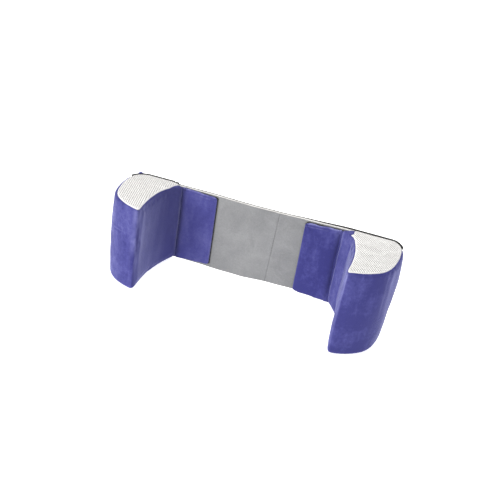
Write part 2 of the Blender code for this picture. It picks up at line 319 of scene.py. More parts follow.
def loopCloth():
    look = loopLook
    made = Look("loopCloth", 0.93, sheen=0.2, sheenRough=0.6, specular=0.12)
    place = made.place()
    cloud = made.noise(place, look["clouds"], detail=4.0, rough=0.6, distortion=0.5)
    tuft = made.noise(place, look["tufts"], rough=0.7)
    fuzz = made.noise(place, look["fibres"], detail=2.0, rough=0.7)
    x = made.apart(place)[0]
    # painted shade: the cloth is darkened towards the right, where less light falls
    mottle = cloud * 0.62 + tuft * 0.38 - x * look["shade_rightwards"]
    colour = made.ramp(mottle, ((0.36, look["low"]), (0.5, look["mid"]), (0.64, look["high"])))
    fuzzy = made.blend(fuzz.between(0.45, 0.75) * 0.4, colour, look["fuzz"])
    made.feed("Base Color", made.blend(made.brushed("sewn") * 0.5, fuzzy, look["sewn"]))
    made.bump(fuzz * 0.6 + tuft * 0.6, 0.4 * mm, 0.5)
    return made.material


waddingLook = {
    "low": (0.55, 0.54, 0.52),
    "high": (0.78, 0.77, 0.75),
    "cells": 700.0,
    "layers": (30.0, 500.0, 30.0),
}


def wadding():
    look = waddingLook
    made = Look("wadding", 0.9, sheen=0.1, specular=0.2)
    place = made.place()
    cell = made.noise(place, look["cells"], rough=0.7)
    layer = made.noise(made.stretched(place, look["layers"]), 1.0, detail=2.0, rough=0.6)
    made.feed("Base Color", made.ramp(cell * 0.5 + layer * 0.5, ((0.35, look["low"]), (0.6, look["high"]))))
    made.bump(cell, 0.4 * mm, 0.6)
    return made.material


darkLooks = {
    # colour, threads in radians a metre
    "darkCloth": ((0.070, 0.069, 0.067), 2600.0),
    "closureTape": ((0.062, 0.062, 0.060), 3600.0),
}


def wovenDark(name):
    colour, threads = darkLooks[name]
    made = Look(name, 0.85, sheen=0.1, specular=0.2)
    place = made.place()
    x, _, z = made.apart(place)
    weave = (x * threads).cosine() * (z * threads).cosine()
    fleck = made.noise(place, 420.0, rough=0.7)
    dark = tuple(part * 0.55 for part in colour)
    made.feed("Base Color", made.blend(weave * 0.25 + fleck * 0.6, dark, colour))
    made.bump(weave * 0.5 + fleck * 0.5, 0.3 * mm, 0.6)
    return made.material


hookLook = {"low": (0.060, 0.058, 0.060), "high": (0.014, 0.014, 0.015), "hooks": 900.0, "rows": 160.0}


def hookSheet():
    look = hookLook
    made = Look("hookSheet", 0.55, specular=0.4)
    place = made.place()
    cells = {"Vector": place, "Scale": look["hooks"]}
    hooks = made.add("ShaderNodeTexVoronoi", {"feature": "F1"}, cells)[0]
    row = made.noise(place, look["rows"], detail=2.0, rough=0.5)
    black = made.ramp(hooks * 0.6 + row * 0.3, ((0.2, look["low"]), (0.7, look["high"])))
    made.feed("Base Color", black)
    made.feed("Roughness", 0.42 + hooks * 0.4)
    made.bump(1.0 - hooks, 0.5 * mm, 0.8)
    return made.material


sliderLook = {"low": (0.030, 0.030, 0.032), "high": (0.085, 0.085, 0.088), "wear_and_sheen": 260.0}


def sliderPlastic():
    look = sliderLook
    made = Look("sliderPlastic", 0.4, specular=0.5)
    worn = made.noise(made.place(), look["wear_and_sheen"], rough=0.6)
    made.feed("Base Color", made.ramp(worn, ((0.35, look["low"]), (0.7, look["high"]))))
    made.feed("Roughness", 0.3 + worn * 0.3)
    return made.material


threadLooks = {"bandThread": (0.13, 0.132, 0.138), "teeth": (0.050, 0.050, 0.050)}


def thread(name):
    colour = threadLooks[name]
    made = Look(name, 0.6, sheen=0.2, specular=0.3)
    twist = made.noise(made.place(), 2600.0, detail=2.0, rough=0.5)
    dark = tuple(part * 0.6 for part in colour)
    made.feed("Base Color", made.blend(twist, dark, colour))
    made.bump(twist, 0.1 * mm, 0.5)
    return made.material


def makeFloor():
    finish = Look("floorFinish", 0.9, specular=0.1)
    finish.shader.inputs["Base Color"].default_value = floorLook["colour"]
    finish.shader.inputs["Emission Color"].default_value = (1.0, 1.0, 1.0, 1.0)
    finish.shader.inputs["Emission Strength"].default_value = floorLook["glow"]
    shape = bmesh.new()
    bmesh.ops.create_grid(shape, x_segments=1, y_segments=1, size=floorLook["size"] / 2)
    mesh = meshOf("floor", shape)
    mesh.materials.append(finish.material)
    floor = placed("floor", mesh)


# Mesh helpers

def points(item):
    co = np.empty(len(item.data.vertices) * 3)
    item.data.vertices.foreach_get("co", co)
    return co.reshape(-1, 3)


def normals(item):
    out = np.empty(len(item.data.vertices) * 3)
    item.data.vertex_normals.foreach_get("vector", out)
    return out.reshape(-1, 3)


def setPoints(item, co):
    item.data.vertices.foreach_set("co", np.asarray(co, np.float32).ravel())
    item.data.update()


def paint(item, **layers):
    # numbers that the mesh carries at its points, for the finish to read
    for name, values in layers.items():
        layer = item.data.attributes.new(name, "FLOAT", "POINT")
        layer.data.foreach_set("value", np.full(len(item.data.vertices), values, np.float32))


def meshOf(name, shape):
    mesh = bpy.data.meshes.new(name)
    shape.to_mesh(mesh)
    shape.free()
    return mesh


def addPiece(name, mesh, material, replaced=()):
    piece = placed(name, mesh)
    mesh.materials.clear()
    mesh.materials.append(material)
    mesh.shade_smooth()
    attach(piece, "root")
    if replaced:
        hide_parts(*replaced)
    return piece


def meshFrom(name, vertices, faces):
    mesh = bpy.data.meshes.new(name)
    mesh.from_pydata([tuple(v) for v in vertices], [], faces)
    mesh.validate()
    shape = bmesh.new()
    shape.from_mesh(mesh)
    bmesh.ops.recalc_face_normals(shape, faces=shape.faces)
    shape.to_mesh(mesh)
    shape.free()
    return mesh


def ease(value):
    # 0 up to 0, 1 from 1 on, soft between
    value = np.clip(value, 0.0, 1.0)
    return value * value * (3.0 - 2.0 * value)


def near(distance, width):
    # 1 at no distance, fading over the width
    return np.exp(-(distance / width)**2)


def ripple(co, seed, size, layers=3):
    # smooth noise from about -1 to 1 out of crossed waves, each layer 1.7 times finer and 1.6 times
    # weaker; it is the same in every run
    rng = np.random.default_rng(seed)
    total = np.zeros(len(co))
    weight = 0.0
    for layer in range(layers):
        for _ in range(4):
            way = rng.normal(size=3)
            way /= np.linalg.norm(way)
            total += np.sin(co @ way * 2 * math.pi / size * 1.7**layer + rng.uniform(0, 6.28)) / 1.6**layer
            weight += 0.5 / 1.6**layer
    return total / weight


def welded(node):
    shape = bmesh.new()
    shape.from_mesh(nodes[node].data)
    bmesh.ops.remove_doubles(shape, verts=shape.verts, dist=0.3 * mm)
    return shape


def cornersOf(node):
    shape = welded(node)
    co = np.array([tuple(vert.co) for vert in shape.verts])
    shape.free()
    return co


# where the velour covers a corner of the sheet: the solid's corner and the edge that shows, x and y in mm
cornerMoves = {
    "top_mesh_left": (((-164.4, 54.2), (-168.0, 58.6)), ((-164.0, 64.0), (-165.2, 66.0))),
    "top_mesh_right": (((156.6, 70.7), (163.2, 70.7)), ((155.4, 69.5), (162.0, 68.4)),
                       ((155.4, 64.2), (161.8, 62.0)), ((155.4, 53.5), (162.4, 53.0))),
}


def upperOutline(node):
    # the rim between a node's upward faces and its sides, in order
    shape = welded(node)
    shape.normal_update()
    joined = {}
    for edge in shape.edges:
        rises = sorted(face.normal.z for face in edge.link_faces)
        if len(rises) == 2 and rises[0] < 0.5 < rises[1]:
            first, second = edge.verts
            joined.setdefault(first, []).append(second)
            joined.setdefault(second, []).append(first)
    start = max(joined, key=lambda vert: vert.co.y)
    line, last, here = [], None, start
    while here is not None:
        line.append(here.co.copy())
        onward = [vert for vert in joined[here] if vert is not last]
        last, here = here, onward[0] if onward else None
        if here is start:
            break
    shape.free()
    outline = np.array([tuple(place) for place in line])
    for old, new in cornerMoves[node]:
        spot = np.argmin(np.hypot(outline[:, 0] - old[0] * mm, outline[:, 1] - old[1] * mm))
        outline[spot, :2] = np.array(new) * mm
    return outline


def insideDepth(co, outline):
    # each point's distance from the outline in plan, positive inside it, and the way to the outline
    best = np.full(len(co), 1e9)
    way = np.zeros((len(co), 2))
    crossings = np.zeros(len(co), bool)
    for a, b in zip(outline, np.roll(outline, -1, axis=0)):
        along = b[:2] - a[:2]
        share = np.clip(((co[:, :2] - a[:2]) @ along) / max(along @ along, 1e-12), 0.0, 1.0)
        gap = co[:, :2] - a[:2] - share[:, None] * along
        distance = np.hypot(gap[:, 0], gap[:, 1])
        way = np.where((distance < best)[:, None], -gap, way)
        best = np.minimum(best, distance)
        spans = (a[1] > co[:, 1]) != (b[1] > co[:, 1])
        if abs(along[1]) > 1e-9:
            crossings ^= spans & (co[:, 0] < along[0] * (co[:, 1] - a[1]) / along[1] + a[0])
    return np.where(crossings, best, -best), way


def gridPanel(front, back):
    # closed panel out of two grids of points with the same rows and columns
    rows, columns = front.shape[:2]
    count = rows * columns
    faces = []
    for start in (0, count):
        for row in range(rows - 1):
            for column in range(columns - 1):
                a = start + row * columns + column
                faces.append((a, a + 1, a + columns + 1, a + columns))
    rim = list(range(columns))
    rim += [row * columns + columns - 1 for row in range(1, rows)]
    rim += [(rows - 1) * columns + column for column in range(columns - 2, -1, -1)]
    rim += [row * columns for row in range(rows - 2, 0, -1)]
    for a, b in zip(rim, rim[1:] + rim[:1]):
        faces.append((a, b, b + count, a + count))
    return np.vstack([front.reshape(-1, 3), back.reshape(-1, 3)]), faces


def joinParts(parts):
    vertices, faces, start = [], [], 0
    for some, across in parts:
        vertices.append(np.asarray(some))
        faces += [tuple(start + corner for corner in face) for face in across]
        start += len(some)
    return np.vstack(vertices), faces


def bar(start, end, radius, ringSides=6):
    # short round bar with pinched ends, for one stitch
    start, end = np.array(start), np.array(end)
    along = (end - start) / np.linalg.norm(end - start)
    side = np.cross(along, (0.0, 1.0, 0.0))
    side /= np.linalg.norm(side)
    high = np.cross(side, along)
    turns = np.linspace(0.0, 2 * math.pi, ringSides, endpoint=False)
    ring = side * np.cos(turns)[:, None] + high * np.sin(turns)[:, None]
    stops = ((0.0, 0.35), (0.25, 1.0), (0.75, 1.0), (1.0, 0.35))
    vertices = np.vstack([start + (end - start) * share + ring * radius * width for share, width in stops])
    faces = []
    for stop in range(len(stops) - 1):
        for a in range(ringSides):
            b = (a + 1) % ringSides
            below, above = stop * ringSides, (stop + 1) * ringSides
            faces.append((below + a, below + b, above + b, above + a))
    faces.append(tuple(range(ringSides)))
    faces.append(tuple(range((len(stops) - 1) * ringSides, len(stops) * ringSides)))
    return vertices, faces


def block(centre, along, size):
    # box with its length along a direction in plan
    centre, along = np.array(centre), np.array(along)
    side = np.array((-along[1], along[0], 0.0))
    up = np.array((0.0, 0.0, 1.0))
    corners = []
    for a in (-0.5, 0.5):
        for b in (-0.5, 0.5):
            for c in (-0.5, 0.5):
                corners.append(centre + along * size[0] * a + side * size[1] * b + up * size[2] * c)
    faces = [(0, 1, 3, 2), (4, 6, 7, 5), (0, 4, 5, 1), (2, 3, 7, 6), (0, 2, 6, 4), (1, 5, 7, 3)]
    return np.array(corners), faces


# Stuffed pieces: remeshed from their solids and swollen as cloth

def applyModifiers(item):
    graph = bpy.context.evaluated_depsgraph_get()
    graph.update()
    final = bpy.data.meshes.new_from_object(item.evaluated_get(graph), depsgraph=graph)
    item.modifiers.clear()
    old = item.data
    item.data = final
    bpy.data.meshes.remove(old)


def modified(item, kind, settings):
    modifier = item.modifiers.new(kind, kind)
    for name, value in settings.items():
        setattr(modifier, name, value)
    applyModifiers(item)


def swell(body, make):
    # cloth pressure with gravity off; no point moves further than the cap, or inwards
    start, facing = points(body), normals(body)
    cloth = body.modifiers.new("swell", "CLOTH")
    cloth.settings.use_pressure = True
    cloth.settings.uniform_pressure_force = make["pressure"]
    cloth.settings.effector_weights.gravity = 0.0
    cloth.settings.quality = 4
    cloth.settings.tension_stiffness = 18.0
    cloth.settings.compression_stiffness = 18.0
    cloth.settings.bending_stiffness = 0.6
    cloth.point_cache.frame_start = 1
    cloth.point_cache.frame_end = make["frames"]
    scene = bpy.context.scene
    for step in range(1, make["frames"] + 1):
        scene.frame_set(step)
    applyModifiers(body)
    scene.frame_set(1)
    moved = points(body) - start
    inwards = np.minimum((moved * facing).sum(axis=1), 0.0)
    moved -= facing * inwards[:, None]
    far = np.linalg.norm(moved, axis=1)
    scale = np.where(far > make["cap"], make["cap"] / np.maximum(far, 1e-9), 1.0)
    setPoints(body, start + moved * scale[:, None])


def stuffed(name, sources, make):
    shape = bmesh.new()
    for source in sources:
        shape.from_mesh(nodes[source].data)
    bmesh.ops.remove_doubles(shape, verts=shape.verts, dist=0.01 * mm)
    body = placed(name, meshOf(name, shape))
    modified(body, "REMESH", {"mode": "VOXEL", "voxel_size": make["voxel"]})
    modified(body, "SMOOTH", {"factor": 0.5, "iterations": make["smooth"]})
    setPoints(body, points(body) - normals(body) * make["shrink"])
    swell(body, make)
    modified(body, "SUBSURF", {"levels": 1, "render_levels": 1})
    return body


def dressed(body, name, material, replaced):
    mesh = body.data
    bpy.data.objects.remove(body)
    piece = addPiece(name, mesh, material, replaced)


bolsterMake = {
    "voxel": 3.2 * mm,
    "smooth": 3,
    "shrink": 0.3 * mm,
    "pressure": 3.0,
    "frames": 14,
    "cap": 1.5 * mm,
    "lipWidth": 2.4 * mm,
    "lipDepth": 3.2 * mm,
    "fill": 0.9,
    "seed": {"left": 11, "right": 23},
    "waveLength": 74 * mm,
    "unevenness": 0.6 * mm,
    # small gathers where the cover is pulled into the top seam
    "gathers": {"reach": 8 * mm, "down": 34 * mm, "fade": 26 * mm, "length": 14 * mm, "height": 0.3 * mm},
    # one soft crease across the left front, rising slightly to the right, with a softer roll above it
    "crease": {"height": 106.24 * mm, "rise": 0.08, "middle": -222 * mm, "reach": 17 * mm,
               "depth": 1.15 * mm, "width": 1.3 * mm},
    "roll": {"share": 0.7, "off": 3.2 * mm, "width": 2.2 * mm},
    "footHeight": 110 * mm,
    # pale velour, partly from use and partly painted sheen: strength, distance from the nose or from the
    # outer wall, width
    "wear_and_sheen": {
        "leftNose": (0.55, 0.0, 5 * mm),
        "leftInside": (0.4, 0.0, 20 * mm),
        "rightNose": (1.3, 1.8 * mm, 2.2 * mm),
        "rightWall": (0.6, 1.0 * mm, 2.0 * mm),
        "rightLine": (0.3, 7.5 * mm, 1.4 * mm),
    },
}


def wear_and_sheen(distance, name):
    strength, place, width = bolsterMake["wear_and_sheen"][name]
    return strength * near(distance - place, width)


def bolster(side, material, outline):
    print("bolster", side)
    make = bolsterMake
    name = f"bolster_{side}"
    body = stuffed(f"{name}_cover", [name, f"top_mesh_{side}"], make)
    co, facing = points(body), normals(body)
    low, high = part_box(name)
    wavy = ripple(co, make["seed"][side], make["waveLength"])
    walls = 1.0 - np.abs(facing[:, 2])
    co += facing * (wavy * make["unevenness"] * walls)[:, None]
    # the lip round the end sheet rolls over its seam and drops to the foam
    depth, _ = insideDepth(co, outline)
    sunk = ease((depth + make["lipWidth"] * 0.3) / make["lipWidth"])
    co[:, 2] -= np.where(facing[:, 2] > 0.25, sunk * make["lipDepth"], 0.0)
    gathers = make["gathers"]
    below = ease((co[:, 2] - high.z + gathers["down"]) / gathers["fade"])
    pulled = near(depth, gathers["reach"]) * below * walls
    co += facing * (ripple(co, 5, gathers["length"], 2) * pulled * gathers["height"])[:, None]
    if side == "left":
        crease = make["crease"]
        along = co[:, 0] - crease["middle"]
        sway = 0.8 * mm * np.sin(co[:, 1] * 160)
        above = co[:, 2] - (crease["height"] + crease["rise"] * along + sway)
        roll = make["roll"]
        fold = near(above, crease["width"]) - roll["share"] * near(above - roll["off"], roll["width"])
        across = near(along, crease["reach"]) * (facing[:, 1] < -0.2)
        co -= facing * (fold * across * crease["depth"])[:, None]
    co[:, 2] = np.maximum(co[:, 2], low.z)
    setPoints(body, co)
    # pale along the nose and outer wall from use and painted sheen; painted shade on faces turned from the
    # light
    inner = outline[np.argmin(outline[:, 0] * outward[side])]
    nose = outline[np.argmin(outline[:, 1] + 0.25 * outward[side] * outline[:, 0])]
    fromNose = np.hypot(co[:, 0] - nose[0], co[:, 1] - nose[1])
    innerFace = ease(-0.5 - facing[:, 0] * outward[side] * 2.0 + 0.5 * (facing[:, 1] > 0.0))
    foot = ease(1.0 - (co[:, 2] - low.z) / make["footHeight"])
    if side == "right":
        ridge = wear_and_sheen(fromNose, "rightNose") * innerFace
        fromWall = outline[:, 0].max() - co[:, 0]
        # painted sheen along the right outer wall and in a line just inside it
        wallSheen = wear_and_sheen(fromWall, "rightWall") + wear_and_sheen(fromWall, "rightLine")
        ridge += wallSheen * ease((co[:, 2] - low.z - 50 * mm) / (70 * mm))
        # painted shade: the right bolster is deeper in tone away from its inner wall, which faces the light
        nap = -0.012 * innerFace * (0.4 + foot) - 0.085 * (1.0 - innerFace)
        dulled = 0.12 * (1.0 - innerFace)
    else:
        ridge = wear_and_sheen(fromNose, "leftNose") + wear_and_sheen(fromNose, "leftInside") * innerFace
        ridge *= 1.0 - foot
        towardsSeam = ease(1.0 - np.abs(co[:, 0] - inner[0]) / (44 * mm))
        # painted shade: the left inner wall, turned from the light, deepens towards its seam and its foot
        nap = -0.13 * innerFace * (0.2 + foot) - 0.02 * foot
        dulled = innerFace * (0.2 + 0.7 * towardsSeam) * (1.0 - 0.45 * foot)
    paint(body, nap=nap, dulled=dulled, worn=walls * np.clip(ridge, 0.0, 1.0))
    dressed(body, f"{name}_velour", material, [name])


sheetMake = {
    "grid": 0.72 * mm,
    "edge": 2.2 * mm,  # width of the rim that turns down into the seam
    "tuck": 1.5 * mm,
    "thickness": 1.7 * mm,
    "wave": 0.35 * mm,
    "waveLength": 55 * mm,
}


def topMesh(side, outline, material):
    print("top mesh", side)
    node = f"top_mesh_{side}"
    low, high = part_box(node)
    shape = welded(node)
    surface = BVHTree.FromBMesh(shape)
    step = sheetMake["grid"]
    xs = np.arange(low.x - step, high.x + step, step)
    ys = np.arange(low.y - step, high.y + step, step)
    gridX, gridY = np.meshgrid(xs, ys)
    flat = np.stack([gridX.ravel(), gridY.ravel(), np.zeros(gridX.size)], axis=1)
    depth, way = insideDepth(flat, outline)
    kept = depth > -0.5 * step
    flat[:, :2] += np.where((np.abs(depth) < 0.5 * step)[:, None], way, 0.0)
    above = high.z + 20 * mm
    centre = outline.mean(axis=0)
    # a point whose ray misses at the rim takes its height from a little further in
    for place in np.flatnonzero(kept):
        x, y = flat[place, :2]
        for pull in (0.0, 0.01, 0.03, 0.06, 0.1):
            start = Vector((x + (centre[0] - x) * pull, y + (centre[1] - y) * pull, above))
            hit = surface.ray_cast(start, Vector((0, 0, -1)))[0]
            if hit is not None:
                flat[place, 2] = hit.z
                break
        kept[place] = hit is not None
    shape.free()
    waves = 0.0
    for across, along, weight in holeFronts(side):
        waves += np.cos(flat[:, 0] * across + flat[:, 1] * along) * weight
    low, high = spacerLook["open"]
    hole = ease((waves - low) / (high - low))
    quiet = ease((depth - 1.0 * mm) / (2.0 * mm))
    flat[:, 2] += ripple(flat, 41, sheetMake["waveLength"]) * sheetMake["wave"] * quiet
    flat[:, 2] -= hole * spacerLook["depth"] * quiet
    flat[:, 2] -= (1.0 - ease(depth / sheetMake["edge"])) * sheetMake["tuck"]
    columns = len(xs)
    under = flat.copy()
    under[:, 2] -= sheetMake["thickness"]
    index = np.full(len(flat), -1)
    index[kept] = np.arange(kept.sum())
    layer = int(kept.sum())
    # squares above and below, and a wall along every side that only one square has
    faces, used = [], {}
    for row in range(len(ys) - 1):
        for column in range(columns - 1):
            a = row * columns + column
            corners = [int(index[b]) for b in (a, a + 1, a + columns + 1, a + columns)]
            if min(corners) < 0:
                continue
            faces.append(tuple(corners))
            faces.append(tuple(corner + layer for corner in reversed(corners)))
            for first, second in zip(corners, corners[1:] + corners[:1]):
                if used.pop((second, first), None) is None:
                    used[(first, second)] = True
    for first, second in used:
        faces.append((second, first, first + layer, second + layer))
    vertices = np.vstack([flat[kept], under[kept]])
    piece = addPiece(f"{node}_panel", meshFrom("panel", vertices, faces), material, [node])
    paint(piece, open=np.tile(quiet[kept], 2))


flapMake = {
    "voxel": 1.7 * mm,
    "smooth": 1,
    "shrink": 0.1 * mm,
    "pressure": 3.0,
    "frames": 12,
    "cap": 0.9 * mm,
    "fill": 0.55,
    "taper": 3.8 * mm,  # from the seam to the free edge, above and below
    "stitchIn": 4.6 * mm,
    "hemIn": 1.6 * mm,
    # puckers that fan out from the upper free corner and from the top of the seam
    "fans": {
        # squash, count, start, reach, height
        "end": (0.8, 11.0, 12 * mm, 11 * mm, 0.55 * mm),
        "seam": (1.4, 8.0, 0.0, 22 * mm, 0.4 * mm),
    },
    "seed": {"left": 61, "right": 67},
    "wave": 0.55 * mm,
    "waveLength": 55 * mm,
    "calm": {"left": 0.5, "right": 0.0},
    "nap": {"left": (0.015, 0.0), "right": (-0.045, -0.025)},  # at the top, and added lower down
}


def flap(side, material):
    print("flap", side)
    make = flapMake
    name = f"flap_{side}"
    body = stuffed(f"{name}_cover", [name], make)
    co, facing = points(body), normals(body)
    low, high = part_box(name)
    seamX, freeX = (low.x, high.x) if side == "left" else (high.x, low.x)
    across = (co[:, 0] - seamX) / (freeX - seamX)
    fromSeam = across * (high.x - low.x)
    fromEnd = (high.x - low.x) - fromSeam
    fromTop = high.z - make["taper"] * across - co[:, 2]
    fromBottom = co[:, 2] - low.z - make["taper"] * across
    front = np.clip(-facing[:, 1], 0.0, 1.0)
    # a rolled hem along the free edges, drawn down behind by its line of stitches
    stitch, hemIn = make["stitchIn"], make["hemIn"]
    drawn = near(fromTop - stitch, 1.5 * mm) + 0.5 * near(fromBottom - stitch, 1.5 * mm)
    drawn += 0.35 * near(fromEnd - stitch, 1.7 * mm)
    hem = near(fromTop - hemIn, 1.5 * mm) + 0.5 * near(fromEnd - hemIn, 1.6 * mm)
    co[:, 1] += front * (drawn * 0.6 - hem * 0.5) * mm
    for place, beside in (("end", fromEnd), ("seam", fromSeam)):
        squash, count, start, reach, height = make["fans"][place]
        away = np.hypot(fromTop, beside * squash)
        turn = np.arctan2(fromTop, np.maximum(beside, 0.1 * mm))
        co[:, 1] += np.sin(turn * count) * near(away - start, reach) * front * height
    co[:, 1] += ripple(co, make["seed"][side], make["waveLength"]) * front * make["wave"]
    if side == "right":
        # its upper edge is slightly wavy
        co[:, 2] += 0.5 * mm * np.sin(co[:, 0] * 230.0) * near(fromTop, 3 * mm)
    setPoints(body, co)
    # painted highlights, with some paling from use, along the rolled top hem, the free end and below the
    # stitches
    worn = near(fromTop - 0.9 * mm, 1.6 * mm) + near(fromEnd - 0.6 * mm, 1.2 * mm) * 0.35
    worn += near(fromTop - stitch - 1.8 * mm, 0.9 * mm) * 0.35 * (across > 0.35)
    # painted light and shade: the left flap a touch lighter at the top, the right one deeper, more so lower
    # down; painted shade beside the seam
    top, added = make["nap"][side]
    paint(body, worn=np.clip(worn, 0.0, 1.0), dulled=near(fromSeam, 7 * mm) * 0.8,
          nap=top + added * ease(fromTop / (90 * mm)), calm=make["calm"][side])
    dressed(body, f"{name}_velour", material, [name])


grooveMake = {
    "flapSide": 6.2 * mm,
    "bolsterSide": 5.0 * mm,
    "edgeIn": 1.6 * mm,
    "valleyIn": {"left": 3.0 * mm, "right": 1.9 * mm},
    "thickness": 1.0 * mm,
    "rows": 60,
    "dulled": {"left": 1.0, "right": 0.3},
    "nap": -0.04,
}


def groove(side, material):
    # the flap's seam allowance, sewn down into the crease beside the bolster
    make = grooveMake
    low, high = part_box(f"flap_{side}")
    seam = low.x if side == "left" else high.x
    z = np.linspace(low.z + 1.0 * mm, high.z - 1.2 * mm, make["rows"])[:, None]
    stops = np.array([-1.0, -0.6, -0.3, -0.12, 0.0, 0.12, 0.3, 0.6, 1.0])
    reach = np.where(stops < 0, make["flapSide"], make["bolsterSide"])
    x = seam + outward[side] * (stops * reach + 0.3 * mm)
    y = low.y + make["edgeIn"] + (make["valleyIn"][side] - make["edgeIn"]) * near(stops, 0.45)
    front = np.stack([x + z * 0.0, y + 0.2 * mm * np.sin(z * 190.0), z + x * 0.0], axis=2)
    back = front + np.array((0.0, make["thickness"], 0.0))
    mesh = meshFrom("groove", *gridPanel(front, back))
    piece = addPiece(f"groove_{side}_velour", mesh, material)
    # painted shade in the crease, deeper on the left
    paint(piece, worn=0.0, dulled=make["dulled"][side], nap=make["nap"])


sleeveMake = {
    "voxel": 1.6 * mm,
    "smooth": 2,
    "shrink": 0.3 * mm,
    "pressure": 3.0,
    "frames": 10,
    "cap": 0.9 * mm,
    "fill": 0.6,
    "seamIn": 20 * mm,  # a drawn-in line beside the free end
    "lift": (-1.0 * mm, 0.0, 5.2 * mm),  # of the upper corner, which stands up behind the bolster
}


def sleeve(material):
    print("sleeve")
    make = sleeveMake
    body = stuffed("sleeve_cover", ["band_end_left"], make)
    co, facing = points(body), normals(body)
    low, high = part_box("band_end_left")
    wavy = ripple(co, 83, 26 * mm) * 0.35 - near(co[:, 0] - low.x - make["seamIn"], 1.4 * mm) * 0.5
    co += facing * (wavy * np.abs(facing[:, 1]) * mm)[:, None]
    lifted = near(co[:, 0] - low.x - 2 * mm, 8 * mm) * ease((co[:, 2] - high.z) / (30 * mm) + 1.0)
    co += lifted[:, None] * np.array(make["lift"])
    setPoints(body, co)
    # painted highlight, with some paling from use, along the top edge
    paint(body, worn=near(high.z - co[:, 2], 2 * mm) * 0.4, dulled=0.0, nap=0.0)
    dressed(body, "band_end_left_velour", material, ["band_end_left"])


# The band: three layers along the same wavy edges, with a stitched line across the face

# step of the grid, rounding of the edges, wander of the outline, height and length of the front's waves
bandLayers = {
    "band_face": {"step": 2.1 * mm, "round": 0.8 * mm, "wander": 0.35 * mm, "wave": 0.28 * mm,
                  "waveLength": 90 * mm, "seed": 3, "line": (20.5 * mm, 26.3 * mm)},
    "band_core": {"step": 5.0 * mm, "round": 1.4 * mm, "wander": 0.35 * mm, "wave": 0.0,
                  "waveLength": 60 * mm, "seed": 4},
    "band_back": {"step": 3.0 * mm, "round": 0.8 * mm, "wander": 0.35 * mm, "wave": 0.2 * mm,
                  "waveLength": 70 * mm, "seed": 6, "lift": ((0.05, 0.16, 0.25), (0.0, 2.4 * mm, 2.6 * mm))},
}
stitchMake = {
    "long": 2.5 * mm,
    "pitch": 3.5 * mm,
    "radius": 0.3 * mm,
    "above": 3.2 * mm,  # from the face's foot to the first stitch
    "below": 5.5 * mm,  # from its top to the last one
    "sunk": 0.32 * mm,
    "wander": 0.12 * mm,
}
hookLayer = {
    "step": 2.5 * mm,
    "round": 0.5 * mm,
    "wander": 0.0,
    "wave": 0.0,
    "waveLength": 50 * mm,
    "seed": 8,
    "lift": ((0.0, 1.0), (-1.1 * mm, -1.1 * mm)),
    "trim": {"flap_hook_left": 1.3 * mm},
}
# soft creases of the face: start, end (x, z in mm), width, depth
faceCreases = (
    ((26, 62), (66, 84), 4.5, 0.9),
    ((24, 44), (64, 30), 5.5, -0.8),
    ((27, 28), (70, 8), 4.0, 0.9),
    ((-60, 118), (-18, 96), 7.0, 0.45),
    ((-48, 60), (8, 40), 6.5, -0.4),
    ((30, 128), (62, 118), 5.0, 0.35),
)


